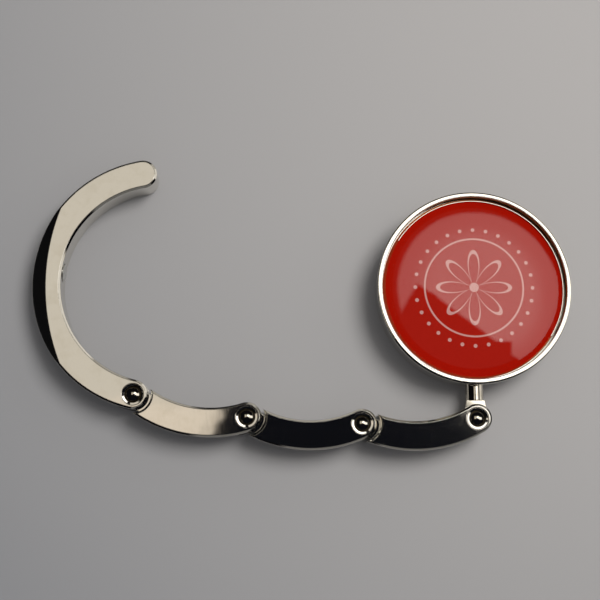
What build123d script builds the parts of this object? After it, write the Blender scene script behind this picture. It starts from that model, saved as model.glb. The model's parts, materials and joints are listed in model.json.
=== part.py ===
from build123d import *
import math
import os

# Folding purse hook: a round disc that rests on a table top, a swivel post in its rim,
# three curved links and a hook arm that wraps round the disc when it is folded.
# Origin at the centre of the disc's resting face, +Z up, the post leaves the rim toward -Y.
# Lengths are in millimetres and angles in degrees.

# Disc
disc_radius = 17.5
housing_wall = 2.5
bezel_width = 0.9
bezel_rise = 1.35
outer_bevel = 0.4
lip_bevel = 0.12
foot_gap = 0.3
web_thickness = 0.55
plate_ledge = 0.6
plate_thickness = 0.4
pad_ledge = 0.4
pad_edge_round = 0.2
adhesive_thickness = 0.1
print_adhesive_thickness = 0.05
print_thickness = 0.15
print_margin = 0.15
dome_edge = 0.2
dome_crown = 1.35
dome_crown_drop = 0.5
dome_shoulder_width = 2.25
seat_gap = 0.05

# Magnet in the hook arm and the steel slug that it grips
magnet_radius = 1.65
magnet_thickness = 1.5
magnet_proud = 0.15
magnet_angle = 84.5
pocket_gap = 0.04
magnet_air_gap = 0.2
keeper_inset = 0.15
keeper_cover = 0.5

# Swivel post
post_radius = 1.6
post_reach = 6.05
barrel_length = 2.7
socket_depth = 0.9
journal_radius = 0.9
washer_width = 0.35
boss_wall = 1.2
boss_length = 2.0
washer_thickness = 0.3
spring_thickness = 0.18
spring_rise = 0.12
peen_thickness = 0.35
end_gap = 0.1
running_gap = 0.06

# Links and hook arm
link_height = 5.5
band_width = 5.2
edge_bevel = 0.35
hinge_spacing = 20.4
link_wrap_gap = 1.2
hook_sweep_angle = 156.8
facet_angle = 75.7
facet_depth = 2.6
facet_border_radius = 39.0
facet_drop = 1.4

# Hinges
tongue_thickness = 2.1
tongue_gap = 0.1
tongue_inset = 0.3
neck_width = 3.6
shoulder_gap = 0.6
slot_reach = 0.8
rivet_radius = 0.8
rivet_snug_gap = 0.03
recess_radius = 1.6
recess_depth = 0.8
recess_bevel = 0.35
head_gap = 0.45
head_rise = 0.85
head_crown_radius = 2.7
tail_gap = 0.3
tail_thickness = 0.6
tail_bevel = 0.15

# Pose in which the hook lies, as directions from each hinge toward the next one
link_directions = (182.6, 176.9, 169.0)
hook_rest_angle = 77.3

cut_overrun = 1.0

# Washers of the swivel, which set the height of the cavity
washer_radius = journal_radius + washer_width
cavity_height = 2 * (washer_radius + end_gap)

# Heights that follow from the sizes above
axis_height = link_height / 2
cavity_floor = axis_height - cavity_height / 2
cavity_roof = axis_height + cavity_height / 2
plate_floor = cavity_floor - plate_thickness
pad_top = plate_floor - adhesive_thickness
web_top = cavity_roof + web_thickness
print_floor = web_top + print_adhesive_thickness
print_top = print_floor + print_thickness
disc_height = print_top + bezel_rise
slot_height = tongue_thickness + 2 * tongue_gap
cheek_thickness = (link_height - slot_height) / 2

# Radii that follow from the sizes above
half_band = band_width / 2
cavity_radius = disc_radius - housing_wall
plate_pocket_radius = cavity_radius + plate_ledge
pad_pocket_radius = plate_pocket_radius + pad_ledge
print_recess_radius = disc_radius - bezel_width
print_radius = print_recess_radius - print_margin
link_mid_radius = disc_radius + link_wrap_gap + half_band
hook_mid_radius = disc_radius + magnet_air_gap + magnet_proud + half_band
post_hinge_radius = disc_radius + post_reach
shoulder_radius = half_band + shoulder_gap
slot_radius = half_band + slot_reach
tongue_radius = half_band - tongue_inset
head_radius = recess_radius - head_gap
tail_radius = recess_radius - tail_gap
keeper_radius = cavity_height / 2 - keeper_inset
keeper_outer = disc_radius - keeper_cover
peen_radius = (washer_radius + journal_radius) / 2
socket_floor = disc_radius - socket_depth
boss_face = cavity_radius - boss_length
barrel_end = disc_radius + barrel_length


def polar(radius, degrees, centre=(0, 0)):
    """Plan point at a radius and direction from a centre."""
    angle = math.radians(degrees)
    return (centre[0] + radius * math.cos(angle), centre[1] + radius * math.sin(angle))


def direction(start, end):
    """Direction in degrees from one plan point to another."""
    return math.degrees(math.atan2(end[1] - start[1], end[0] - start[0]))


def angle_between(side_a, side_b, opposite):
    """Angle at the corner of a triangle between two sides, from the side opposite."""
    cosine = (side_a**2 + side_b**2 - opposite**2) / (2 * side_a * side_b)
    return math.degrees(math.acos(cosine))


def upright(radius, floor, roof, centre=(0, 0)):
    """Cylinder with a vertical axis between two heights."""
    plan = Location((centre[0], centre[1], floor))
    return plan * Cylinder(radius, roof - floor, align=(Align.CENTER, Align.CENTER, Align.MIN))


def radial_rod(radius, inner, outer, degrees=-90.0):
    """Cylinder that points away from the disc's axis at the height of the post."""
    start = polar(inner, degrees)
    plane = Plane(
        origin=(start[0], start[1], axis_height),
        z_dir=(math.cos(math.radians(degrees)), math.sin(math.radians(degrees)), 0),
    )
    rod = Cylinder(radius, outer - inner, align=(Align.CENTER, Align.CENTER, Align.MIN))
    return plane * rod


def bevelled(solid, length):
    """Solid with its top and bottom outlines bevelled."""
    faces = solid.faces().sort_by(Axis.Z)
    return chamfer(faces[0].edges() + faces[-1].edges(), length)


def closed_hook_angle():
    """Polar angle of the last hinge when the chain is wrapped round the disc."""
    step_in = (post_hinge_radius - hook_mid_radius) / len(link_directions)
    radii = [post_hinge_radius - i * step_in for i in range(len(link_directions) + 1)]
    turns = [angle_between(a, b, hinge_spacing) for a, b in zip(radii, radii[1:])]
    return direction((0, 0), (0, -1)) - sum(turns)


def hinge_points():
    """Plan points of the four hinges, from the post to the hook arm."""
    points = [(0, -post_hinge_radius)]
    for heading in link_directions:
        points.append(polar(hinge_spacing, heading, points[-1]))
    return points


# Disc housing and what it holds

def make_disc_housing():
    """Cast housing: bezel, web, wall, boss for the post and pocket for the steel slug."""
    body = upright(disc_radius, foot_gap, disc_height)
    body = bevelled(body, outer_bevel)
    body -= upright(print_recess_radius, web_top, disc_height + cut_overrun)
    lip = Location((0, 0, disc_height - lip_bevel))
    body -= lip * Cone(
        print_recess_radius, print_recess_radius + lip_bevel, lip_bevel,
        align=(Align.CENTER, Align.CENTER, Align.MIN),
    )
    body -= upright(cavity_radius, cavity_floor, cavity_roof)
    body -= upright(plate_pocket_radius, plate_floor, cavity_floor)
    body -= upright(pad_pocket_radius, foot_gap - cut_overrun, plate_floor)
    boss_width = 2 * (journal_radius + boss_wall)
    boss_depth = boss_length + housing_wall / 2
    boss = Location((0, -boss_face, axis_height)) * Box(
        boss_width, boss_depth, cavity_height, align=(Align.CENTER, Align.MAX, Align.CENTER)
    )
    body += boss
    body -= radial_rod(journal_radius + running_gap, boss_face - cut_overrun, disc_radius)
    body -= radial_rod(post_radius + running_gap, socket_floor, disc_radius + cut_overrun)
    body -= radial_rod(
        keeper_radius + pocket_gap, cavity_radius - cut_overrun, keeper_outer, keeper_angle
    )
    return body


def make_keeper_slug():
    """Steel slug inside the housing wall, where the folded hook's magnet comes to rest."""
    return radial_rod(keeper_radius, cavity_radius, keeper_outer, keeper_angle)


def make_base_plate():
    """Steel plate that closes the cavity from below."""
    return upright(plate_pocket_radius - seat_gap, plate_floor, cavity_floor)


def make_pad_adhesive():
    """Double-sided adhesive between the plate and the grip pad."""
    return upright(plate_pocket_radius, pad_top, plate_floor)


def make_grip_pad():
    """Rubber pad on which the disc rests."""
    pad = upright(pad_pocket_radius - seat_gap, 0, pad_top)
    return fillet(pad.faces().sort_by(Axis.Z)[0].edges(), pad_edge_round)


def make_print_adhesive():
    """Adhesive film under the printed disc."""
    return upright(print_radius, web_top, print_floor)


def make_printed_disc():
    """Printed film disc."""
    return upright(print_radius, print_floor, print_top)


def make_clear_dome():
    """Clear cast resin dome over the print: nearly flat crown, round shoulder, low edge."""
    crown = print_top + dome_crown
    shoulder = print_radius - dome_shoulder_width
    shoulder_height = crown - dome_crown_drop
    sphere_radius = (shoulder**2 + dome_crown_drop**2) / (2 * dome_crown_drop)
    halfway = shoulder / 2
    halfway_height = crown - sphere_radius + math.sqrt(sphere_radius**2 - halfway**2)
    slope = math.asin(shoulder / sphere_radius)
    profile = [
        Line((0, 0, crown), (0, 0, print_top)),
        Line((0, 0, print_top), (print_radius, 0, print_top)),
        Line((print_radius, 0, print_top), (print_radius, 0, print_top + dome_edge)),
        TangentArc((shoulder, 0, shoulder_height), (print_radius, 0, print_top + dome_edge),
                   tangent=(math.cos(slope), 0, -math.sin(slope))),
        ThreePointArc((shoulder, 0, shoulder_height), (halfway, 0, halfway_height), (0, 0, crown)),
    ]
    return revolve(make_face(profile), Axis.Z)


# Swivel post

def make_swivel_post():
    """Turned post: journal with a peened end, barrel, and flat eye for the first hinge."""
    eye = (0, -post_hinge_radius)
    peen_start = boss_face - spring_rise - spring_thickness - washer_thickness
    post = radial_rod(post_radius, socket_floor + end_gap, barrel_end)
    post += radial_rod(journal_radius, peen_start - peen_thickness, barrel_end)
    peen = radial_rod(peen_radius, peen_start - peen_thickness, peen_start)
    post += chamfer(peen.faces().sort_by(Axis.Y)[-1].edges(), peen_thickness / 2)
    corner = (post_radius, -barrel_end)
    spread = math.degrees(math.acos(tongue_radius / math.dist(eye, corner)))
    tangent = polar(tongue_radius, direction(eye, corner) - spread, eye)
    outline = [corner, tangent, (-tangent[0], tangent[1]), (-corner[0], corner[1])]
    blade = make_face(Polyline(*outline, close=True)) + Location(eye) * Circle(tongue_radius)
    flat = extrude(blade, tongue_thickness / 2, both=True)
    post += Location((0, 0, axis_height)) * flat
    return post - upright(rivet_radius + running_gap, 0, link_height, eye)


def make_spring_washer():
    """Dished washer that gives the swivel its drag."""
    bore = journal_radius + running_gap
    profile = [
        (washer_radius, 0),
        (washer_radius, spring_thickness),
        (bore, spring_thickness + spring_rise),
        (bore, spring_rise),
    ]
    section = make_face(Polyline(*[(x, 0, z) for x, z in profile], close=True))
    washer = revolve(section, Axis.Z)
    seat = Plane(origin=(0, -boss_face, axis_height), z_dir=(0, 1, 0))
    return seat * washer


def make_post_washer():
    """Plain washer under the peened end of the post."""
    outer = boss_face - spring_rise - spring_thickness
    washer = radial_rod(washer_radius, outer - washer_thickness, outer)
    return washer - radial_rod(journal_radius + running_gap, 0, disc_radius)


# Chain

def round_recess(centre, faces_up):
    """Recess for a rivet head with a bevelled mouth, from the top or from below."""
    mouth = recess_radius + recess_bevel
    if faces_up:
        pocket = upright(recess_radius, link_height - recess_depth, link_height + cut_overrun, centre)
        cone_floor = link_height - recess_bevel
        radii = (recess_radius, mouth)
    else:
        pocket = upright(recess_radius, -cut_overrun, recess_depth, centre)
        cone_floor = 0
        radii = (mouth, recess_radius)
    cone = Location((centre[0], centre[1], cone_floor)) * Cone(
        radii[0], radii[1], recess_bevel, align=(Align.CENTER, Align.CENTER, Align.MIN)
    )
    return pocket + cone


def cut_fork(body, centre):
    """Body with the slot, rivet hole and head recesses of a forked hinge end."""
    body -= upright(slot_radius, cheek_thickness, link_height - cheek_thickness, centre)
    body -= upright(rivet_radius + rivet_snug_gap, -cut_overrun, link_height + cut_overrun, centre)
    body -= round_recess(centre, faces_up=True)
    return body - round_recess(centre, faces_up=False)


def make_tongue(centre, heading):
    """Tongue that runs from a link's shoulder to the rivet, and its rivet hole."""
    reach = shoulder_radius + half_band
    neck = Location((centre[0], centre[1]), heading) * Rectangle(
        reach, neck_width, align=(Align.MIN, Align.CENTER)
    )
    plan = neck + Location(centre) * Circle(tongue_radius)
    flat = Location((0, 0, axis_height)) * extrude(plan, tongue_thickness / 2, both=True)
    return flat - upright(rivet_radius + running_gap, 0, link_height, centre)


def link_outline():
    """Plan face of a link: fork end at the origin, shoulder before the far hinge.

    The far hinge lies on +X and the hollow side, which faces the disc, looks to -Y."""
    half_pitch = hinge_spacing / 2
    centre = (half_pitch, -math.sqrt(link_mid_radius**2 - half_pitch**2))
    near = direction(centre, (0, 0))
    far = direction(centre, (hinge_spacing, 0))
    middle = (near + far) / 2
    inner_radius = link_mid_radius - half_band
    outer_radius = link_mid_radius + half_band
    inner_cut = far + angle_between(inner_radius, link_mid_radius, shoulder_radius)
    outer_cut = far + angle_between(outer_radius, link_mid_radius, shoulder_radius)
    shoulder_bend = 2 * math.degrees(math.asin(shoulder_radius / 2 / link_mid_radius))
    shoulder_middle = polar(link_mid_radius, far + shoulder_bend, centre)
    inner_start = polar(inner_radius, near, centre)
    outer_start = polar(outer_radius, near, centre)
    inner_end = polar(inner_radius, inner_cut, centre)
    outer_end = polar(outer_radius, outer_cut, centre)
    edges = [
        ThreePointArc(inner_start, polar(inner_radius, middle, centre), inner_end),
        ThreePointArc(inner_end, shoulder_middle, outer_end),
        ThreePointArc(outer_end, polar(outer_radius, middle, centre), outer_start),
        ThreePointArc(outer_start, polar(half_band, near + 90), inner_start),
    ]
    return make_face(edges), direction((hinge_spacing, 0), shoulder_middle)


def make_link(hinge, heading):
    """Curved link laid from its fork hinge along a heading."""
    outline, tongue_heading = link_outline()
    body = bevelled(extrude(outline, link_height), edge_bevel)
    body = cut_fork(body, (0, 0))
    body += make_tongue((hinge_spacing, 0), tongue_heading)
    return Location((hinge[0], hinge[1], 0), heading) * body


def hook_placement():
    """Placement of the hook arm: its own origin at its hinge, arc centre on +X."""
    hinge = hinge_points()[-1]
    return Location((hinge[0], hinge[1], 0), hook_rest_angle)


def make_hook_arm():
    """Hook arm: forked end, long arc with a bevelled facet outside, and a round tip."""
    centre = (hook_mid_radius, 0)
    inner_radius = hook_mid_radius - half_band
    outer_radius = hook_mid_radius + half_band
    start = 180.0
    end = start - hook_sweep_angle
    middle = (start + end) / 2
    tip = polar(hook_mid_radius, end, centre)
    edges = [
        ThreePointArc(polar(inner_radius, start, centre), polar(inner_radius, middle, centre),
                      polar(inner_radius, end, centre)),
        ThreePointArc(polar(inner_radius, end, centre), polar(half_band, end - 90, tip),
                      polar(outer_radius, end, centre)),
        ThreePointArc(polar(outer_radius, end, centre), polar(outer_radius, middle, centre),
                      polar(outer_radius, start, centre)),
        ThreePointArc(polar(outer_radius, start, centre), polar(half_band, start + 90),
                      polar(inner_radius, start, centre)),
    ]
    body = bevelled(extrude(make_face(edges), link_height), edge_bevel)
    body -= make_facet_cutter(centre, start - facet_angle, outer_radius)
    body = cut_fork(body, (0, 0))
    body -= make_magnet_rod(magnet_radius + pocket_gap, pocket_gap, cut_overrun)
    return hook_placement() * body


def make_facet_cutter(centre, heading, outer_radius):
    """Ring with a conical bore that cuts the sloping facet on the outside of the hook."""
    border_centre = polar(outer_radius - facet_depth - facet_border_radius, heading, centre)
    low_radius = facet_border_radius + facet_depth
    ring = upright(low_radius + cut_overrun, link_height - facet_drop, link_height + cut_overrun,
                   border_centre)
    slope = facet_depth / facet_drop
    top_radius = facet_border_radius - slope * cut_overrun
    cone = Location((border_centre[0], border_centre[1], link_height - facet_drop)) * Cone(
        low_radius, top_radius, facet_drop + cut_overrun,
        align=(Align.CENTER, Align.CENTER, Align.MIN),
    )
    return ring - cone


def make_magnet_rod(radius, extra_depth, overrun):
    """Cylinder in the hook's inner wall: the magnet, or with extras the pocket for it."""
    heading = 180.0 - magnet_angle
    face = hook_mid_radius - half_band - magnet_proud
    start = polar(face - overrun, heading, (hook_mid_radius, 0))
    plane = Plane(
        origin=(start[0], start[1], axis_height),
        z_dir=(math.cos(math.radians(heading)), math.sin(math.radians(heading)), 0),
    )
    length = magnet_thickness + extra_depth + overrun
    return plane * Cylinder(radius, length, align=(Align.CENTER, Align.CENTER, Align.MIN))


def make_rivet(hinge):
    """Hinge rivet: shank, domed head on top and a flat formed tail below."""
    seat = link_height - recess_depth
    tail_seat = recess_depth
    rivet = upright(rivet_radius, tail_seat - tail_thickness / 2, seat + head_rise / 2)
    tail = upright(tail_radius, tail_seat - tail_thickness, tail_seat)
    rivet += chamfer(tail.faces().sort_by(Axis.Z)[0].edges(), tail_bevel)
    crown = Location((0, 0, seat + head_rise - head_crown_radius)) * Sphere(head_crown_radius)
    rivet += upright(head_radius, seat, seat + head_rise) & crown
    return Location((hinge[0], hinge[1], 0)) * rivet


keeper_angle = closed_hook_angle() - magnet_angle
hinges = hinge_points()

nodes = {
    "disc_housing": make_disc_housing(),
    "keeper_slug": make_keeper_slug(),
    "base_plate": make_base_plate(),
    "pad_adhesive": make_pad_adhesive(),
    "grip_pad": make_grip_pad(),
    "print_adhesive": make_print_adhesive(),
    "printed_disc": make_printed_disc(),
    "clear_dome": make_clear_dome(),
    "swivel_post": make_swivel_post(),
    "spring_washer": make_spring_washer(),
    "post_washer": make_post_washer(),
    "hook_arm": make_hook_arm(),
    "hook_magnet": hook_placement() * make_magnet_rod(magnet_radius, 0, 0),
}
for index, heading in enumerate(link_directions):
    nodes[f"link_{index + 1}"] = make_link(hinges[index], heading)
for index, hinge in enumerate(hinges):
    nodes[f"hinge_rivet_{index + 1}"] = make_rivet(hinge)

os.makedirs("parts", exist_ok=True)
for name, solid in nodes.items():
    export_step(solid, f"parts/{name}.step")
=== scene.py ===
import json
import logging
import math
from dataclasses import dataclass, field
from enum import Enum
from typing import Any, Sequence

import bpy
from mathutils import Matrix, Vector


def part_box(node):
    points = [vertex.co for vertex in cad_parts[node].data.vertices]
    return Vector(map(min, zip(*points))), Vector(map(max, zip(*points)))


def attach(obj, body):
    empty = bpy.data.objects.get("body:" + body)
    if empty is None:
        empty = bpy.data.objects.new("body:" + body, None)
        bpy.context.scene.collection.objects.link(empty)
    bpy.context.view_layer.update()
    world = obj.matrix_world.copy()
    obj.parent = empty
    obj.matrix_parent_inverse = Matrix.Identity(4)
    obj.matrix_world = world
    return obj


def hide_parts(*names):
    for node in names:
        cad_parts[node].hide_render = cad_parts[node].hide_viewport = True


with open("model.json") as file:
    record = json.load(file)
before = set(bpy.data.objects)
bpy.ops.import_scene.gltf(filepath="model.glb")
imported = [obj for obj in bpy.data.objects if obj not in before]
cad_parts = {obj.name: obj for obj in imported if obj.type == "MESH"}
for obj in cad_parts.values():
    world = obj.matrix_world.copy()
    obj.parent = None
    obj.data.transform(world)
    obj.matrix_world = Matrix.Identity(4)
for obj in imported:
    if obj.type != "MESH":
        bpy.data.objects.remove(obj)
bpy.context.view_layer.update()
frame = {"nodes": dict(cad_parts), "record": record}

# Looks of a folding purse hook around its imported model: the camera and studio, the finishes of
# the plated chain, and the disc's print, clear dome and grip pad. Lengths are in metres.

log = logging.getLogger("purse_hook")

MM = 0.001
IMAGE_WIDTH_PX = 600

Colour = tuple[float, float, float]
Point = tuple[float, float]
Axes = tuple[float, float, float]
Fade = tuple[float, float]  # where a soft edge starts, and where it is whole


class Ray(Enum):
    """Kinds of ray that the studio and the clear dome tell apart."""

    CAMERA = "Is Camera Ray"
    GLOSSY = "Is Glossy Ray"
    DIFFUSE = "Is Diffuse Ray"
    SHADOW = "Is Shadow Ray"


class Value:
    """A number that varies over a surface, which Python's operators turn into Math nodes."""

    def __init__(self, graph: "Graph", socket: bpy.types.NodeSocket) -> None:
        """Wrap a socket.

        Args:
            graph: The graph that new nodes go into.
            socket: The output socket that carries the value.
        """
        self.graph = graph
        self.socket = socket

    def _math(self, operation: str, *values: Any) -> "Value":
        """Return a Math node's result on the given values."""
        node = self.graph.node("ShaderNodeMath", {"operation": operation}, *values)
        return Value(self.graph, node.outputs[0])

    def __add__(self, other: Any) -> "Value":
        """Return self + other."""
        return self._math("ADD", self, other)

    def __radd__(self, other: Any) -> "Value":
        """Return other + self."""
        return self._math("ADD", other, self)

    def __sub__(self, other: Any) -> "Value":
        """Return self - other."""
        return self._math("SUBTRACT", self, other)

    def __rsub__(self, other: Any) -> "Value":
        """Return other - self."""
        return self._math("SUBTRACT", other, self)

    def __mul__(self, other: Any) -> "Value":
        """Return self * other."""
        return self._math("MULTIPLY", self, other)

    def __rmul__(self, other: Any) -> "Value":
        """Return other * self."""
        return self._math("MULTIPLY", other, self)

    def __truediv__(self, other: Any) -> "Value":
        """Return self / other."""
        return self._math("DIVIDE", self, other)

    def at_least(self, other: Any) -> "Value":
        """Return the larger of self and other."""
        return self._math("MAXIMUM", self, other)

    def at_most(self, other: Any) -> "Value":
        """Return the smaller of self and other."""
        return self._math("MINIMUM", self, other)

    def magnitude(self) -> "Value":
        """Return the value without its sign."""
        return self._math("ABSOLUTE", self)

    def cosine(self) -> "Value":
        """Return the cosine of an angle in radians."""
        return self._math("COSINE", self)

    def fraction(self) -> "Value":
        """Return what is left over whole numbers."""
        return self._math("FRACT", self)

    def bearing(self, across: "Value") -> "Value":
        """Return the direction of the point (across, self) in radians."""
        return self._math("ARCTAN2", self, across)

    def distance(self, other: Any) -> "Value":
        """Return the length of the vector (self, other)."""
        return self._math("SQRT", self * self + other * other)

    def step(self, low: float, high: float) -> "Value":
        """Rise smoothly from 0 at low to 1 at high.

        Args:
            low: The value at which the result is 0.
            high: The value at which the result is 1, which may be below low.

        Returns:
            The eased value.
        """
        first, last = sorted((low, high))
        settings = {"interpolation_type": "SMOOTHSTEP"}
        node = self.graph.node("ShaderNodeMapRange", settings, self, first, last, 0.0, 1.0)
        eased = Value(self.graph, node.outputs[0])
        return 1.0 - eased if low > high else eased


class Graph:
    """The shader nodes of one material or of the world."""

    def __init__(self, tree: bpy.types.NodeTree) -> None:
        """Start an empty graph in a node tree."""
        self.tree = tree
        tree.nodes.clear()

    def node(
        self, kind: str, settings: dict[str, Any], *values: Any, **named: Any
    ) -> bpy.types.Node:
        """Add one node.

        Args:
            kind: The node's type.
            settings: Properties of the node, set before its sockets.
            *values: Links or numbers for its sockets, in order.
            **named: Links or numbers for sockets by name, with _ for a space.

        Returns:
            The new node.
        """
        made = self.tree.nodes.new(kind)
        for key, setting in settings.items():
            setattr(made, key, setting)
        pairs = [(made.inputs[index], value) for index, value in enumerate(values)]
        pairs += [(made.inputs[key.replace("_", " ")], value) for key, value in named.items()]
        for socket, value in pairs:
            self.feed(socket, value)
        return made

    def feed(self, socket: bpy.types.NodeSocket, value: Any) -> None:
        """Link a value to a socket, or set the socket's own number or colour.

        Args:
            socket: The input socket.
            value: A value or socket to link, or a number or colour to set.
        """
        if isinstance(value, Value):
            self.tree.links.new(value.socket, socket)
        elif isinstance(value, bpy.types.NodeSocket):
            self.tree.links.new(value, socket)
        elif socket.type == "RGBA":
            socket.default_value = (*value[:3], 1.0)
        else:
            socket.default_value = value

    def place(self, name: str = "Object") -> bpy.types.NodeSocket:
        """Return a texture coordinate by its name."""
        return self.node("ShaderNodeTexCoord", {}).outputs[name]

    def split(self, vector: bpy.types.NodeSocket) -> tuple[Value, Value, Value]:
        """Return a vector's three parts."""
        node = self.node("ShaderNodeSeparateXYZ", {}, vector)
        return tuple(Value(self, output) for output in node.outputs)

    def ray(self, kind: Ray) -> Value:
        """Return 1 for rays of a kind."""
        return Value(self, self.node("ShaderNodeLightPath", {}).outputs[kind.value])

    def stretch(
        self, vector: bpy.types.NodeSocket, scale: Sequence[float]
    ) -> bpy.types.NodeSocket:
        """Return a coordinate scaled along its axes."""
        return self.node("ShaderNodeMapping", {}, vector, Scale=scale).outputs[0]

    def noise(self, vector: bpy.types.NodeSocket, scale: float, detail: float = 2.0) -> Value:
        """Return smooth noise from 0 to 1 at a scale in repeats per metre."""
        node = self.node("ShaderNodeTexNoise", {}, Vector=vector, Scale=scale, Detail=detail)
        return Value(self, node.outputs[0])

    def mix(self, share: Any, first: Any, second: Any) -> bpy.types.NodeSocket:
        """Mix two colours.

        Args:
            share: The share of the second colour.
            first: The colour at share 0.
            second: The colour at share 1.

        Returns:
            The mixed colour's socket.
        """
        made = self.node("ShaderNodeMix", {"data_type": "RGBA"})
        for index, value in ((0, share), (6, first), (7, second)):
            self.feed(made.inputs[index], value)
        return made.outputs[2]

    def soft_edge(self, radius: float) -> bpy.types.NodeSocket:
        """Return a normal that is rounded over sharp edges."""
        return self.node("ShaderNodeBevel", {"samples": 6}, Radius=radius).outputs[0]

    def bump(self, height: Value, depth: float, base: Any = None) -> bpy.types.NodeSocket:
        """Return a normal bent by a height.

        Args:
            height: The height, from 0 to 1.
            depth: The height's full range in metres.
            base: The normal to bend, or None for the surface's own.

        Returns:
            The normal's socket.
        """
        node = self.node("ShaderNodeBump", {}, Distance=depth, Height=height)
        if base is not None:
            self.feed(node.inputs["Normal"], base)
        return node.outputs[0]


class Finish:
    """Base of every finish: makes one material and gives it to objects."""

    name = "finish"

    def shade(self, graph: Graph, surface: bpy.types.Node) -> None:
        """Set the principled surface and add what varies over it."""
        raise NotImplementedError

    def cover(self, graph: Graph, surface: bpy.types.Node) -> bpy.types.NodeSocket:
        """Return the shader that reaches the output."""
        return surface.outputs[0]

    def material(self) -> bpy.types.Material:
        """Make the finish's material, or find it where it is made already.

        Returns:
            The material.
        """
        found = bpy.data.materials.get(self.name)
        if found:
            return found
        made = bpy.data.materials.new(self.name)
        made.use_nodes = True
        graph = Graph(made.node_tree)
        surface = graph.node("ShaderNodeBsdfPrincipled", {})
        self.shade(graph, surface)
        graph.node("ShaderNodeOutputMaterial", {}, self.cover(graph, surface))
        return made

    def dress(self, piece: bpy.types.Object) -> None:
        """Give the material to every slot of a piece.

        Args:
            piece: The piece to dress.
        """
        material = self.material()
        if not piece.material_slots:
            piece.data.materials.append(material)
        for slot in piece.material_slots:
            slot.material = material


@dataclass(frozen=True)
class PolishedNickel(Finish):
    """Bright plating over a polished casting: a little wavy, with painted shade in the rivet
    recesses.
    """

    name: str = "polished_nickel"
    tint: Colour = (0.80, 0.78, 0.725)
    cloudy: Colour = (0.76, 0.735, 0.67)
    painted_recess_shade: Colour = (0.036, 0.029, 0.018)
    hinges: tuple[Point, ...] = ()
    recess_radius: float = 1.72 * MM
    recess_blur: float = 0.03 * MM
    recess_lip: float = 5.34 * MM
    lip_blur: float = 0.12 * MM
    edge_radius: float = 0.20 * MM
    waves_per_m: float = 240.0
    wave_depth: float = 0.010 * MM
    clouds_per_m: float = 456.0
    cloud_fade: Fade = (0.42, 0.78)
    lines_per_m: float = 4600.0
    line_stretch: Axes = (1.0, 0.10, 0.3)
    line_fade: Fade = (0.5, 0.85)
    gloss: float = 0.028
    line_rough: float = 0.03
    cloud_rough: float = 0.02
    recess_rough: float = 0.25

    def recess(self, graph: Graph) -> Value:
        """Return the share of the recesses round the rivet heads, where shade is painted.

        Args:
            graph: The graph to add to.

        Returns:
            1 inside the recesses, easing to 0 outside them.
        """
        x, y, z = graph.split(graph.place())
        nearest = None
        for across, along in self.hinges:
            reach = (x - across).distance(y - along)
            nearest = reach if nearest is None else nearest.at_most(reach)
        depth = z.step(self.recess_lip, self.recess_lip - self.lip_blur)
        return nearest.step(self.recess_radius + self.recess_blur, self.recess_radius) * depth

    def shade(self, graph: Graph, surface: bpy.types.Node) -> None:
        """Plate the surface: wavy reflections, cloudy tint, buffing lines and painted shade in
        the recesses.

        Args:
            graph: The material's graph.
            surface: Its principled surface.
        """
        place = graph.place()
        cloud = graph.noise(place, self.clouds_per_m, 3.0)
        lines = graph.noise(graph.stretch(place, self.line_stretch), self.lines_per_m, 2.0)
        colour = graph.mix(cloud.step(*self.cloud_fade), self.tint, self.cloudy)
        rough = self.gloss + lines.step(*self.line_fade) * self.line_rough
        rough = rough + cloud * self.cloud_rough
        # Painted shade: the recesses round the rivet heads are painted dark and made rougher.
        if self.hinges:
            recess_shade_share = self.recess(graph)
            colour = graph.mix(recess_shade_share, colour, self.painted_recess_shade)
            rough = rough + recess_shade_share * self.recess_rough
        waves = graph.noise(place, self.waves_per_m, 1.0)
        normal = graph.bump(waves, self.wave_depth, graph.soft_edge(self.edge_radius))
        surface.inputs["Metallic"].default_value = 1.0
        graph.feed(surface.inputs["Base Color"], colour)
        graph.feed(surface.inputs["Roughness"], rough)
        graph.feed(surface.inputs["Normal"], normal)


BRIGHT_TRIM = PolishedNickel(name="bright_trim", edge_radius=0.015 * MM)


@dataclass(frozen=True)
class TurnedNickel(Finish):
    """Plating over turned steel, with faint rings from the lathe."""

    name: str = "turned_nickel"
    tint: Colour = (0.74, 0.70, 0.62)
    dull: Colour = (0.60, 0.56, 0.48)
    marks_per_m: float = 8000.0
    mark_stretch: Axes = (0.08, 1.0, 0.08)
    mark_fade: Fade = (0.5, 0.9)
    mark_rough: float = 0.05
    clouds_per_m: float = 700.0
    cloud_fade: Fade = (0.4, 0.75)
    gloss: float = 0.03
    edge_radius: float = 0.10 * MM

    def shade(self, graph: Graph, surface: bpy.types.Node) -> None:
        """Plate the surface with turning marks in its gloss.

        Args:
            graph: The material's graph.
            surface: Its principled surface.
        """
        place = graph.place()
        marks = graph.noise(graph.stretch(place, self.mark_stretch), self.marks_per_m, 2.0)
        cloud = graph.noise(place, self.clouds_per_m, 3.0)
        colour = graph.mix(cloud.step(*self.cloud_fade), self.tint, self.dull)
        rough = self.gloss + marks.step(*self.mark_fade) * self.mark_rough
        surface.inputs["Metallic"].default_value = 1.0
        graph.feed(surface.inputs["Base Color"], colour)
        graph.feed(surface.inputs["Roughness"], rough)
        graph.feed(surface.inputs["Normal"], graph.soft_edge(self.edge_radius))


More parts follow.
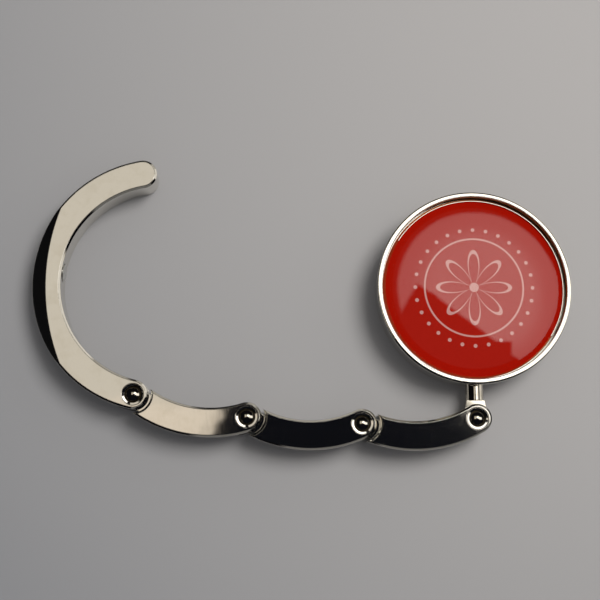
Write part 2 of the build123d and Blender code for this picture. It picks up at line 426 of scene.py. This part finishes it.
@dataclass(frozen=True)
class PlainSteel(Finish):
    """Unplated steel of the hidden plate, slug and washers."""

    name: str = "rolled_steel"
    tint: Colour = (0.46, 0.46, 0.45)
    streak: Colour = (0.33, 0.32, 0.31)
    streaks_per_m: float = 3800.0
    streak_stretch: Axes = (0.06, 1.0, 1.0)
    gloss: float = 0.26
    streak_rough: float = 0.2

    def shade(self, graph: Graph, surface: bpy.types.Node) -> None:
        """Give rolled steel its streaks.

        Args:
            graph: The material's graph.
            surface: Its principled surface.
        """
        along_roll = graph.stretch(graph.place(), self.streak_stretch)
        streaks = graph.noise(along_roll, self.streaks_per_m, 3.0)
        surface.inputs["Metallic"].default_value = 1.0
        graph.feed(surface.inputs["Base Color"], graph.mix(streaks, self.tint, self.streak))
        graph.feed(surface.inputs["Roughness"], self.gloss + streaks * self.streak_rough)


@dataclass(frozen=True)
class GroundMagnet(Finish):
    """Nickel-plated face of the small magnet, scuffed where it meets the disc."""

    name: str = "ground_magnet"
    tint: Colour = (0.84, 0.85, 0.82)
    scuff: Colour = (0.62, 0.61, 0.58)
    scuffs_per_m: float = 2600.0
    scuff_fade: Fade = (0.52, 0.66)
    gloss: float = 0.42
    scuff_rough: float = 0.2

    def shade(self, graph: Graph, surface: bpy.types.Node) -> None:
        """Scatter scuffs over the plating.

        Args:
            graph: The material's graph.
            surface: Its principled surface.
        """
        scuffs = graph.noise(graph.place(), self.scuffs_per_m, 4.0).step(*self.scuff_fade)
        surface.inputs["Metallic"].default_value = 1.0
        graph.feed(surface.inputs["Base Color"], graph.mix(scuffs, self.tint, self.scuff))
        graph.feed(surface.inputs["Roughness"], self.gloss + scuffs * self.scuff_rough)


@dataclass(frozen=True)
class GripRubber(Finish):
    """Soft black rubber of the pad."""

    name: str = "pad_rubber"
    tint: Colour = (0.018, 0.018, 0.019)
    bloom: Colour = (0.055, 0.053, 0.050)
    pebbles_per_m: float = 3400.0
    pebble_depth: float = 0.03 * MM
    pebble_rough: float = 0.25
    dust_per_m: float = 210.0
    dust_fade: Fade = (0.5, 0.8)
    gloss: float = 0.60

    def shade(self, graph: Graph, surface: bpy.types.Node) -> None:
        """Give the rubber a fine pebble and a dusty bloom.

        Args:
            graph: The material's graph.
            surface: Its principled surface.
        """
        place = graph.place()
        pebble = graph.noise(place, self.pebbles_per_m, 2.0)
        dust = graph.noise(place, self.dust_per_m, 4.0)
        colour = graph.mix(dust.step(*self.dust_fade), self.tint, self.bloom)
        graph.feed(surface.inputs["Base Color"], colour)
        graph.feed(surface.inputs["Roughness"], self.gloss + pebble * self.pebble_rough)
        graph.feed(surface.inputs["Normal"], graph.bump(pebble, self.pebble_depth))


@dataclass(frozen=True)
class AdhesiveFilm(Finish):
    """Milky adhesive under the print and above the pad."""

    name: str = "milky_adhesive"
    tint: Colour = (0.62, 0.60, 0.54)
    thick: Colour = (0.50, 0.48, 0.42)
    clouds_per_m: float = 700.0
    gloss: float = 0.42
    cloud_rough: float = 0.15

    def shade(self, graph: Graph, surface: bpy.types.Node) -> None:
        """Cloud the film a little.

        Args:
            graph: The material's graph.
            surface: Its principled surface.
        """
        cloud = graph.noise(graph.place(), self.clouds_per_m, 3.0)
        graph.feed(surface.inputs["Base Color"], graph.mix(cloud, self.tint, self.thick))
        graph.feed(surface.inputs["Roughness"], self.gloss + cloud * self.cloud_rough)


@dataclass(frozen=True)
class RedPrint(Finish):
    """Red printed film with a plain rosette inside a ring of dots."""

    name: str = "red_print"
    ink: Colour = (0.365, 0.0125, 0.0066)
    deep: Colour = (0.325, 0.0105, 0.0055)
    rim_red: Colour = (0.345, 0.0062, 0.0016)
    rim_start: float = 14.5 * MM
    rim_blur: float = 0.4 * MM
    pale: Colour = (0.60, 0.34, 0.31)
    pale_cover: float = 0.8
    petals: int = 8
    petal_root: float = 1.3 * MM
    petal_reach: float = 5.6 * MM
    petal_line: float = 0.75 * MM
    eye_radius: float = 0.85 * MM
    dots: int = 28
    dot_circle: float = 10.6 * MM
    dot_radius: float = 0.34 * MM
    hoop_radius: float = 8.9 * MM
    hoop_width: float = 0.16 * MM
    blur: float = 0.05 * MM
    grains_per_m: float = 5200.0
    gloss: float = 0.36
    grain_rough: float = 0.1
    # Painted shade in the gap between the film's edge and the bezel: dark red at the lower left,
    # lighter brown at the upper right.
    gap_shade_red: Colour = (0.23, 0.028, 0.009)
    gap_shade_brown: Colour = (0.46, 0.17, 0.065)
    gap_shade_turn: float = 8.0 * MM
    film_radius: float = 16.06 * MM
    film_centre: Point = (0.06 * MM, -0.09 * MM)

    def inside(self, reach: Value, limit: Any) -> Value:
        """Return 1 where a distance is under a limit, with the print's soft border."""
        return (limit - reach).step(-self.blur, self.blur)

    def motif(self, graph: Graph) -> Value:
        """Return the share of pale ink.

        Args:
            graph: The graph to add to.

        Returns:
            1 on the petals' outlines, the eye, the hoop and the dots, and 0 elsewhere.
        """
        x, y, _ = graph.split(graph.place())
        reach = x.distance(y)
        turn = y.bearing(x)
        lobe = (turn * (self.petals / 2)).cosine().magnitude()
        outer = self.inside(reach, lobe * self.petal_reach + self.petal_root)
        inner_root = self.petal_root - self.petal_line
        inner = self.inside(reach, lobe * self.petal_reach + inner_root)
        petals = outer * (1.0 - inner)
        eye = self.inside(reach, self.eye_radius)
        hoop = self.inside((reach - self.hoop_radius).magnitude(), self.hoop_width)
        share = (turn * (self.dots / math.tau) + 0.5).fraction() - 0.5
        arc = share * (math.tau * self.dot_circle / self.dots)
        dots = self.inside(arc.distance(reach - self.dot_circle), self.dot_radius)
        return petals.at_least(eye).at_least(hoop).at_least(dots)

    def shade(self, graph: Graph, surface: bpy.types.Node) -> None:
        """Lay the red ink with a faint grain and the pale motif, up to the film's edge, with
        painted shade in the gap beyond it.

        Args:
            graph: The material's graph.
            surface: Its principled surface.
        """
        grain = graph.noise(graph.place(), self.grains_per_m, 2.0)
        x, y, _ = graph.split(graph.place())
        red = graph.mix(grain, self.ink, self.deep)
        # From rim_start outward the red turns deeper and purer.
        near_rim = x.distance(y).step(self.rim_start, self.rim_start + self.rim_blur)
        red = graph.mix(near_rim, red, self.rim_red)
        printed = graph.mix(self.motif(graph) * self.pale_cover, red, self.pale)
        # Past the film's edge the gap gets painted shade, redder to the lower left and browner to
        # the upper right.
        centre_x, centre_y = self.film_centre
        film = self.inside((x - centre_x).distance(y - centre_y), self.film_radius)
        turned = (x + y).step(-self.gap_shade_turn, self.gap_shade_turn)
        border = graph.mix(turned, self.gap_shade_red, self.gap_shade_brown)
        graph.feed(surface.inputs["Base Color"], graph.mix(film, border, printed))
        graph.feed(surface.inputs["Roughness"], self.gloss + grain * self.grain_rough)
        surface.inputs["Specular IOR Level"].default_value = 0.0


@dataclass(frozen=True)
class ClearResin(Finish):
    """Clear cast resin of the dome. Light reaches the print through it straight."""

    name: str = "cast_resin"
    index: float = 1.54
    waves_per_m: float = 170.0
    wave_depth: float = 0.004 * MM
    gloss: float = 0.006
    wave_rough: float = 0.01

    def shade(self, graph: Graph, surface: bpy.types.Node) -> None:
        """Make the resin clear, with a trace of waviness in its gloss.

        Args:
            graph: The material's graph.
            surface: Its principled surface.
        """
        surface.inputs["Base Color"].default_value = (1.0, 1.0, 1.0, 1.0)
        surface.inputs["Transmission Weight"].default_value = 1.0
        surface.inputs["IOR"].default_value = self.index
        waves = graph.noise(graph.place(), self.waves_per_m, 1.0)
        graph.feed(surface.inputs["Roughness"], self.gloss + waves * self.wave_rough)
        graph.feed(surface.inputs["Normal"], graph.bump(waves, self.wave_depth))

    def cover(self, graph: Graph, surface: bpy.types.Node) -> bpy.types.NodeSocket:
        """Let shadow and diffuse rays through unbent.

        Args:
            graph: The material's graph.
            surface: Its principled surface.

        Returns:
            The shader that reaches the output.
        """
        straight = graph.node("ShaderNodeBsdfTransparent", {})
        through = graph.ray(Ray.SHADOW).at_least(graph.ray(Ray.DIFFUSE))
        shaders = (surface.outputs[0], straight.outputs[0])
        return graph.node("ShaderNodeMixShader", {}, through, *shaders).outputs[0]


@dataclass(frozen=True)
class Sector:
    """A part of the room between two bearings, which count in degrees from +X toward +Y."""

    bearing: float
    full: float
    fade: float

    def share(self, east: Value, north: Value) -> Value:
        """Return the sector's share of a direction.

        Args:
            east: The direction's part toward +X, on a unit circle.
            north: The direction's part toward +Y.

        Returns:
            1 up to the angle full on either side of the bearing, easing to 0 at the angle fade.
        """
        turn, full, fade = (math.radians(angle) for angle in (self.bearing, self.full, self.fade))
        facing = east * math.cos(turn) + north * math.sin(turn)
        return facing.step(math.cos(fade), math.cos(full))


@dataclass(frozen=True)
class Pane:
    """A soft-edged rectangle overhead, whose edges are slopes off the vertical."""

    left: Fade
    right: Fade
    front: Fade
    back: Fade

    def share(self, across: Value, along: Value, cut: Any = 0.0) -> Value:
        """Return the pane's share of a direction.

        Args:
            across: The direction's slope toward +X.
            along: The direction's slope toward +Y.
            cut: How far the right edge moves in.

        Returns:
            1 inside the pane, easing to 0 outside it.
        """
        sides = across.step(*self.left) * (across + cut).step(*self.right)
        return sides * along.step(*self.front) * along.step(*self.back)


@dataclass(frozen=True)
class Room:
    """The dim room and its lights, as polished metal and the clear dome mirror them."""

    dark: Colour = (0.003, 0.003, 0.004)
    right: Sector = Sector(27.0, 31.0, 39.0)
    right_light: Colour = (0.80, 0.76, 0.69)
    back: Sector = Sector(98.0, 30.0, 36.0)
    back_light: Colour = (0.42, 0.40, 0.36)
    front: Sector = Sector(-72.0, 26.0, 32.0)
    front_light: Colour = (0.16, 0.155, 0.15)
    horizon_height: Fade = (0.36, 0.28)
    dim: Colour = (0.0045, 0.0045, 0.005)
    upper: Sector = Sector(27.0, 33.0, 43.0)
    upper_light: Colour = (0.98, 0.94, 0.87)
    upper_height: Fade = (0.54, 0.42)
    wall: Pane = Pane(
        left=(-0.30, -0.23), right=(-0.030, -0.042), front=(-0.02, 0.03), back=(0.42, 0.34)
    )
    wall_light: Colour = (0.695, 0.640, 0.556)
    wall_foot_light: Colour = (0.82, 0.72, 0.605)
    wall_foot: Fade = (0.097, 0.080)
    notch_depth: float = 0.028
    notch_edge: Fade = (0.105, 0.125)
    window_centre: Point = (0.211, 0.183)
    window_edge: Fade = (0.240, 0.222)
    window_light: Colour = (1.50, 1.43, 1.34)
    window_core: Fade = (0.206, 0.13)
    core_light: Colour = (2.45, 2.34, 2.18)
    side_window: Pane = Pane(
        left=(0.36, 0.42), right=(0.95, 0.80), front=(-0.12, -0.06), back=(0.30, 0.22)
    )
    corner_centre: Point = (0.048, 0.133)
    corner_edge: Fade = (0.053, 0.040)
    slant: float = 0.75
    slant_edge: Fade = (0.233, 0.215)
    ledge_back: Fade = (0.051, 0.040)
    ledge_right: Fade = (0.292, 0.278)
    side_slant: float = 0.58
    side_edge: Fade = (-0.092, -0.073)
    screen_height: Fade = (0.60, 0.75)
    screen_tint: Colour = (0.0045, 0.0050, 0.0072)
    flattest: float = 0.02

    def horizon(self, graph: Graph, east: Value, north: Value) -> bpy.types.NodeSocket:
        """Return the room's colour round the horizon.

        Args:
            graph: The graph to add to.
            east: The direction's part toward +X, on a unit circle.
            north: The direction's part toward +Y.

        Returns:
            The colour's socket: bright to the right, grey to the back and front, else dark.
        """
        light = graph.mix(self.back.share(east, north), self.dark, self.back_light)
        light = graph.mix(self.front.share(east, north), light, self.front_light)
        return graph.mix(self.right.share(east, north), light, self.right_light)

    def screen(self, across: Value, along: Value, height: Value) -> Value:
        """Return the share of the dark screen that hangs before the window.

        Args:
            across: The direction's slope toward +X.
            along: The direction's slope toward +Y.
            height: The direction's part upward.

        Returns:
            1 on the screen: a slanted sheet with a ledge to the right and a rounded corner.
        """
        centre_x, centre_y = self.corner_centre
        corner = (across - centre_x).distance(along - centre_y).step(*self.corner_edge)
        sheet = (along + across * self.slant).step(*self.slant_edge)
        ledge = along.step(*self.ledge_back) * across.step(*self.ledge_right)
        side = (across - along * self.side_slant).step(*self.side_edge)
        return corner.at_least(sheet.at_least(ledge) * side * height.step(*self.screen_height))

    def light(self, graph: Graph, direction: bpy.types.NodeSocket) -> bpy.types.NodeSocket:
        """Return the room's colour in every direction.

        Args:
            graph: The graph to add to.
            direction: The direction, of length 1.

        Returns:
            The colour's socket: a window overhead behind a dark screen, a second window to its
            right, a warm wall to its left, and the dim room with its horizon.
        """
        x, y, z = graph.split(direction)
        height, level = z.at_least(self.flattest), x.distance(y).at_least(self.flattest)
        across, along = x / height, y / height
        east, north = x / level, y / level
        upper = self.upper.share(east, north) * z.step(*self.upper_height)
        light = graph.mix(upper, self.dim, self.upper_light)
        light = graph.mix(z.step(*self.horizon_height), light, self.horizon(graph, east, north))
        notch = along.step(*self.notch_edge) * self.notch_depth
        warm = graph.mix(along.step(*self.wall_foot), self.wall_light, self.wall_foot_light)
        light = graph.mix(self.wall.share(across, along, notch), light, warm)
        centre_x, centre_y = self.window_centre
        spread = (across - centre_x).distance(along - centre_y)
        light = graph.mix(spread.step(*self.window_edge), light, self.window_light)
        light = graph.mix(spread.step(*self.window_core), light, self.core_light)
        light = graph.mix(self.side_window.share(across, along), light, self.window_light)
        return graph.mix(self.screen(across, along, z), light, self.screen_tint)


@dataclass(frozen=True)
class Tabletop(Finish):
    """Grey surface under the hook, with painted light: lighter toward the window."""

    name: str = "tabletop"
    room: Room = Room()
    shaded: Colour = (0.27, 0.275, 0.29)
    lit: Colour = (0.45, 0.438, 0.434)
    middle_share: float = 0.70
    right_per_m: float = 3.35
    back_per_m: float = 3.2
    falloff_per_m2: float = 26.8
    matt: float = 0.9
    specular: float = 0.1
    near_centre: float = -0.03
    near_reach: Fade = (0.065, 0.0975)
    flat_view: Fade = (0.58, 0.70)
    wall_top: Fade = (4.3 * MM, 4.7 * MM)

    def shade(self, graph: Graph, surface: bpy.types.Node) -> None:
        """Paint light and shade into the grey: lighter to the back right, darker far out.

        Args:
            graph: The material's graph.
            surface: Its principled surface.
        """
        x, y, _ = graph.split(graph.place())
        slope = x * self.right_per_m + y * self.back_per_m + self.middle_share
        share = (slope - (x * x + y * y) * self.falloff_per_m2).at_least(0.0)
        graph.feed(surface.inputs["Base Color"], graph.mix(share, self.shaded, self.lit))
        surface.inputs["Roughness"].default_value = self.matt
        surface.inputs["Specular IOR Level"].default_value = self.specular

    def cover(self, graph: Graph, surface: bpy.types.Node) -> bpy.types.NodeSocket:
        """Show polished metal the room beyond the near part of the surface.

        The edges along the top of the hook see the room at a flat angle too. The walls below
        them see the surface itself.

        Args:
            graph: The material's graph.
            surface: Its principled surface.

        Returns:
            The shader that reaches the output.
        """
        x, y, _ = graph.split(graph.place())
        reach = x.distance(y).at_least(MM)
        room = self.room.horizon(graph, x / reach, y / reach)
        glow = graph.node("ShaderNodeEmission", {}, room, 1.0)
        facing = Value(graph, graph.node("ShaderNodeLayerWeight", {}).outputs["Facing"])
        length = Value(graph, graph.node("ShaderNodeLightPath", {}).outputs["Ray Length"])
        above = (length * (1.0 - facing)).step(*self.wall_top)
        flat = facing.step(*self.flat_view) * above
        beyond = (x - self.near_centre).distance(y).step(*self.near_reach)
        far = graph.ray(Ray.GLOSSY) * beyond.at_least(flat)
        shaders = (surface.outputs[0], glow.outputs[0])
        return graph.node("ShaderNodeMixShader", {}, far, *shaders).outputs[0]


@dataclass
class Studio:
    """Camera, surroundings and the surface that the hook lies on."""

    eye: Vector = field(default_factory=lambda: Vector((-37.967, -38.615, 207.809)) * MM)
    right: Vector = field(default_factory=lambda: Vector((0.99947, 0.00032, 0.03251)))
    ahead: Vector = field(default_factory=lambda: Vector((0.03195, 0.1755, -0.98396)))
    focal_px: float = 1150.0
    sensor_mm: float = 36.0
    clip: tuple[float, float] = (0.005, 10.0)
    lamp_aim: Vector = field(default_factory=lambda: Vector((0.50, 0.42, 1.0)).normalized())
    lamp_distance: float = 0.9
    lamp_size: float = 0.5
    lamp_watts: float = 6.3
    lamp_colour: Colour = (1.0, 0.975, 0.94)
    room: Room = Room()
    fill: Colour = (0.24, 0.24, 0.245)
    backdrop: Colour = (0.42, 0.41, 0.405)
    floor_half: float = 1.5

    def build(self) -> None:
        """Set the plain view, then add the camera, the surroundings, the lamp and the floor."""
        bpy.context.scene.view_settings.view_transform = "Standard"
        self.add_camera()
        self.add_world()
        self.add_lamp()
        self.add_floor()

    def add_camera(self) -> None:
        """Place the camera at the photograph's viewpoint."""
        data = bpy.data.cameras.new("camera")
        data.sensor_width = self.sensor_mm
        data.lens = self.focal_px / IMAGE_WIDTH_PX * self.sensor_mm
        data.clip_start, data.clip_end = self.clip
        camera = bpy.data.objects.new("camera", data)
        bpy.context.scene.collection.objects.link(camera)
        back = -self.ahead.normalized()
        up = back.cross(self.right).normalized()
        turn = Matrix((up.cross(back), up, back)).transposed().to_4x4()
        camera.matrix_world = Matrix.Translation(self.eye) @ turn
        bpy.context.scene.camera = camera

    def add_world(self) -> None:
        """Surround the hook with the room, a plain backdrop and a soft fill for matt surfaces."""
        world = bpy.data.worlds.new("studio")
        bpy.context.scene.world = world
        world.use_nodes = True
        graph = Graph(world.node_tree)
        light = self.room.light(graph, graph.place("Generated"))
        light = graph.mix(graph.ray(Ray.CAMERA), light, self.backdrop)
        back = graph.node("ShaderNodeBackground", {}, light, 1.0)
        soft = graph.node("ShaderNodeBackground", {}, self.fill, graph.ray(Ray.DIFFUSE))
        both = graph.node("ShaderNodeAddShader", {}, back.outputs[0], soft.outputs[0])
        graph.node("ShaderNodeOutputWorld", {}, both.outputs[0])

    def add_lamp(self) -> None:
        """Hang the main soft light at the upper right."""
        data = bpy.data.lights.new("softbox", "AREA")
        data.shape = "DISK"
        data.size = self.lamp_size
        data.energy = self.lamp_watts
        data.color = self.lamp_colour
        lamp = bpy.data.objects.new("softbox", data)
        lamp.visible_glossy = False
        bpy.context.scene.collection.objects.link(lamp)
        turn = self.lamp_aim.to_track_quat("Z", "Y").to_matrix().to_4x4()
        lamp.matrix_world = Matrix.Translation(self.lamp_aim * self.lamp_distance) @ turn

    def add_floor(self) -> None:
        """Lay the plain surface on which the hook lies."""
        bpy.ops.mesh.primitive_plane_add(size=2 * self.floor_half)
        floor = bpy.context.object
        floor.name = "tabletop"
        Tabletop(room=self.room).dress(floor)


@dataclass
class Turning:
    """A round piece raised ring by ring from a circle, as on a lathe."""

    name: str
    outline: list[Point]
    segments: int = 128
    is_ring: bool = False
    offset: Point = (0.0, 0.0)
    weld: float = 0.0005 * MM

    def make(self) -> bpy.types.Object:
        """Raise the piece from its outline of radii and heights.

        Returns:
            A closed solid of revolution. A ring's outline runs once round its section.
        """
        radius, level = self.outline[0]
        outline = self.outline + self.outline[:1] if self.is_ring else self.outline
        fill = "NOTHING" if self.is_ring else "NGON"
        bpy.ops.object.select_all(action="DESELECT")
        bpy.ops.mesh.primitive_circle_add(
            vertices=self.segments, radius=radius, fill_type=fill, location=(0, 0, level)
        )
        piece = bpy.context.object
        piece.name = self.name
        bpy.ops.object.transform_apply(location=True, rotation=True, scale=True)
        bpy.ops.object.mode_set(mode="EDIT")
        bpy.ops.mesh.select_all(action="SELECT")
        for next_radius, next_level in outline[1:]:
            rise = {"value": (0, 0, next_level - level)}
            bpy.ops.mesh.extrude_region_move(TRANSFORM_OT_translate=rise)
            share = next_radius / radius
            middle = (0, 0, next_level)
            bpy.ops.transform.resize(value=(share, share, 1), center_override=middle)
            radius, level = next_radius, next_level
        if not self.is_ring:
            bpy.ops.mesh.poke()
        bpy.ops.mesh.select_all(action="SELECT")
        bpy.ops.mesh.remove_doubles(threshold=self.weld)
        bpy.ops.transform.translate(value=(*self.offset, 0.0))
        bpy.ops.mesh.normals_make_consistent(inside=False)
        bpy.ops.object.mode_set(mode="OBJECT")
        return piece


@dataclass
class Disc:
    """Housing, print, clear dome and grip pad."""

    print_top: float = 4.85 * MM
    ring_segments: int = 192
    dome_foot: float = 16.06 * MM
    dome_offset: Point = (0.06 * MM, -0.09 * MM)
    dome_crown: float = 6.19 * MM
    crown_drop: float = 0.572 * MM
    shoulder: float = 15.15 * MM
    shoulder_curve: float = 0.2 * MM
    skirt_slope: float = math.radians(16.0)
    dome_steps: int = 12
    dome_crease: float = 20.0
    foot_bevel: float = 0.04 * MM
    skirt_bevel: Point = (0.03 * MM, 0.03 * MM)
    skirt_lift: float = 0.01 * MM
    sunk: float = 0.02 * MM
    pad_radius: float = 15.9 * MM
    pad_top: float = 0.9 * MM
    pad_edge: float = 0.22 * MM
    pad_edge_steps: int = 3
    pad_crease: float = 30.0
    groove_pitch: float = 1.5 * MM
    groove_width: float = 0.5 * MM
    groove_depth: float = 0.22 * MM
    groove_slope: float = 0.08 * MM
    grooves: int = 9
    bezel_top: float = 6.203 * MM
    bezel_inner: float = 16.78 * MM
    bezel_outer: float = 17.54 * MM
    bezel_offset: Point = (-0.05 * MM, -0.05 * MM)
    bezel_round: float = 0.10 * MM
    bezel_outer_round: float = 0.17 * MM
    bezel_steps: int = 4
    bezel_crease: float = 35.0
    bezel_depth: float = 0.60 * MM
    ledge_inner: float = 16.075 * MM
    ledge_outer: float = 16.18 * MM
    ledge_middle: float = math.radians(57.5)
    ledge_top: float = 5.24 * MM
    ledge_bevel: float = 0.02 * MM
    ledge_crease: float = 30.0

    def build(self, finishes: dict[str, Finish]) -> None:
        """Make the bezel's polished band, the ledge round the dome, the dome and the pad.

        Args:
            finishes: The finish of each material slot.
        """
        self.make_bezel(finishes["plated_casting"])
        self.make_ledge(BRIGHT_TRIM)
        self.make_dome(finishes["clear_resin"])
        self.make_pad(finishes["grip_rubber"])

    def make_bezel(self, finish: Finish) -> None:
        """Buff the bezel's top into a flat band with rounded edges.

        Args:
            finish: The band's finish.
        """
        steps = self.bezel_steps
        turns = [math.pi / 2 * index / steps for index in range(steps + 1)]
        small, large = self.bezel_round, self.bezel_outer_round
        inner, outer = self.bezel_inner + small, self.bezel_outer - large
        low, high = self.bezel_top - large, self.bezel_top - small
        section = [(inner - small * math.cos(a), high + small * math.sin(a)) for a in turns]
        section += [(outer + large * math.sin(a), low + large * math.cos(a)) for a in turns]
        floor = self.bezel_top - self.bezel_depth
        section += [(self.bezel_outer, floor), (self.bezel_inner, floor)]
        band = Turning("bezel_band", section, self.ring_segments, True, self.bezel_offset).make()
        self.smooth(band, self.bezel_crease)
        finish.dress(band)
        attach(band, "disc")
        log.info("made %s", band.name)

    def make_ledge(self, finish: Finish) -> None:
        """Press the thin bright ledge that shows beside half of the dome, which sits off centre.

        Args:
            finish: The ledge's finish.
        """
        inner, outer, bevel = self.ledge_inner, self.ledge_outer, self.ledge_bevel
        base, top = self.print_top - self.sunk, self.ledge_top
        section = [(inner, top - bevel), (inner + bevel, top), (outer - bevel, top),
                   (outer, top - bevel), (outer, base), (inner, base)]
        ledge = Turning("cup_ledge", section, self.ring_segments, True, self.dome_offset).make()
        middle = (*self.dome_offset, 0.0)
        toward = (math.cos(self.ledge_middle), math.sin(self.ledge_middle), 0.0)
        bpy.ops.object.mode_set(mode="EDIT")
        bpy.ops.mesh.select_all(action="SELECT")
        bpy.ops.mesh.bisect(plane_co=middle, plane_no=toward, use_fill=True, clear_inner=True)
        bpy.ops.object.mode_set(mode="OBJECT")
        self.smooth(ledge, self.ledge_crease)
        finish.dress(ledge)
        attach(ledge, "disc")
        log.info("made %s", ledge.name)

    def dome_outline(self) -> list[Point]:
        """Work out the dome's outline.

        Returns:
            Radii and heights of the foot, sloping skirt, round shoulder and nearly flat crown.
        """
        base, foot, curve = self.print_top - self.sunk, self.dome_foot, self.shoulder_curve
        sphere = (self.shoulder**2 + self.crown_drop**2) / (2 * self.crown_drop)
        lean = math.asin(self.shoulder / sphere)
        centre = self.shoulder - curve * math.sin(lean)
        level = self.dome_crown - self.crown_drop - curve * math.cos(lean)
        turns = [self.skirt_slope + (lean - self.skirt_slope) * index / self.dome_steps
                 for index in range(self.dome_steps + 1)]
        shoulder = [(centre + curve * math.sin(a), level + curve * math.cos(a)) for a in turns]
        run = foot - shoulder[0][0]
        skirt_end = shoulder[0][1] - run * math.tan(self.skirt_slope) + self.skirt_lift
        across, down = self.skirt_bevel
        points = [(foot - self.foot_bevel, base), (foot, base + self.foot_bevel),
                  (foot, skirt_end - down), (foot - across, skirt_end)]
        points += shoulder
        for index in range(1, self.dome_steps):
            radius = self.shoulder * (1 - index / self.dome_steps)
            drop = sphere - math.sqrt(sphere**2 - radius**2)
            points.append((radius, self.dome_crown - drop))
        return points

    def make_dome(self, finish: Finish) -> None:
        """Cast the clear dome over the print.

        Args:
            finish: The dome's finish.
        """
        dome = Turning("cast_dome", self.dome_outline(), offset=self.dome_offset).make()
        self.smooth(dome, self.dome_crease)
        finish.dress(dome)
        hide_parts("clear_dome")
        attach(dome, "disc")
        log.info("made %s", dome.name)

    def pad_outline(self) -> list[Point]:
        """Work out the pad's outline.

        Returns:
            Radii and heights from the pad's top down to its grooved underside.
        """
        points = [(self.pad_radius, self.pad_top), (self.pad_radius, self.pad_edge)]
        for index in range(1, self.pad_edge_steps + 1):
            angle = math.pi / 2 * index / self.pad_edge_steps
            points.append((self.pad_radius - self.pad_edge * (1 - math.cos(angle)),
                           self.pad_edge * (1 - math.sin(angle))))
        start = self.pad_radius - self.groove_pitch
        for index in range(self.grooves):
            outer = start - index * self.groove_pitch
            inner = outer - self.groove_width
            points += [(outer, 0.0), (outer - self.groove_slope, self.groove_depth),
                       (inner + self.groove_slope, self.groove_depth), (inner, 0.0)]
        points.append((inner / 2, 0.0))
        return points

    def make_pad(self, finish: Finish) -> None:
        """Mould the rubber pad with rings of grooves on which the disc rests.

        Args:
            finish: The pad's finish.
        """
        pad = Turning("ribbed_pad", self.pad_outline()).make()
        self.smooth(pad, self.pad_crease)
        finish.dress(pad)
        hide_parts("grip_pad")
        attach(pad, "disc")
        log.info("made %s", pad.name)

    @staticmethod
    def smooth(piece: bpy.types.Object, degrees: float) -> None:
        """Shade a piece smooth, and keep its sharper edges.

        Args:
            piece: The piece to shade.
            degrees: The angle past which an edge stays sharp.
        """
        bpy.ops.object.select_all(action="DESELECT")
        piece.select_set(True)
        bpy.context.view_layer.objects.active = piece
        bpy.ops.object.shade_smooth_by_angle(angle=math.radians(degrees))


@dataclass
class Chain:
    """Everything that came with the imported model: each node gets its slot's finish."""

    upper_bodies: tuple[str, ...] = ("first_link", "second_link", "third_link", "hook")
    rim_section_mm: tuple[Point, ...] = (
        (1.50, 5.28), (1.50, 5.405), (1.515, 5.42), (1.855, 5.46),
        (1.875, 5.45), (1.875, 5.42), (1.62, 5.165),
    )
    rim_segments: int = 96
    rim_crease: float = 25.0

    def hinge_points(self) -> tuple[Point, ...]:
        """Find the rivets, of which each body past the post carries one.

        Returns:
            Their plan points, counted from the post.
        """
        points = []
        for number in range(1, len(self.upper_bodies) + 1):
            low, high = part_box(f"hinge_rivet_{number}")
            points.append(((low[0] + high[0]) / 2, (low[1] + high[1]) / 2))
        return tuple(points)

    def finishes(self) -> dict[str, Finish]:
        """Choose the finishes.

        Returns:
            The finish of each material slot.
        """
        return {
            "plated_casting": PolishedNickel(hinges=self.hinge_points()),
            "plated_steel": TurnedNickel(),
            "magnet_face": GroundMagnet(),
            "plain_steel": PlainSteel(),
            "grip_rubber": GripRubber(),
            "adhesive_film": AdhesiveFilm(),
            "printed_film": RedPrint(),
            "clear_resin": ClearResin(),
        }

    def build(self, finishes: dict[str, Finish]) -> None:
        """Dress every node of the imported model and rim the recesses.

        Args:
            finishes: The finish of each material slot.
        """
        for part in frame["record"]["subparts"]:
            finishes[part["material_slot"]].dress(frame["nodes"][part["node"]])
            log.info("dressed %s", part["node"])
        for number, centre in enumerate(self.hinge_points(), 1):
            self.make_rim(number, centre)

    def make_rim(self, number: int, centre: Point) -> None:
        """Press a dished bright rim into the mouth of a rivet's recess.

        Args:
            number: The rivet's number, counted from the post.
            centre: The rivet's plan point.
        """
        section = [(radius * MM, level * MM) for radius, level in self.rim_section_mm]
        rim = Turning(f"recess_rim_{number}", section, self.rim_segments, True, centre).make()
        Disc.smooth(rim, self.rim_crease)
        BRIGHT_TRIM.dress(rim)
        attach(rim, self.upper_bodies[number - 1])
        log.info("made %s", rim.name)


def main() -> None:
    """Build the looks sub-assembly by sub-assembly."""
    logging.basicConfig(level=logging.INFO)
    bpy.ops.object.select_all(action="DESELECT")
    Studio().build()
    chain = Chain()
    finishes = chain.finishes()
    chain.build(finishes)
    Disc().build(finishes)


if __name__ == "__main__":
    main()
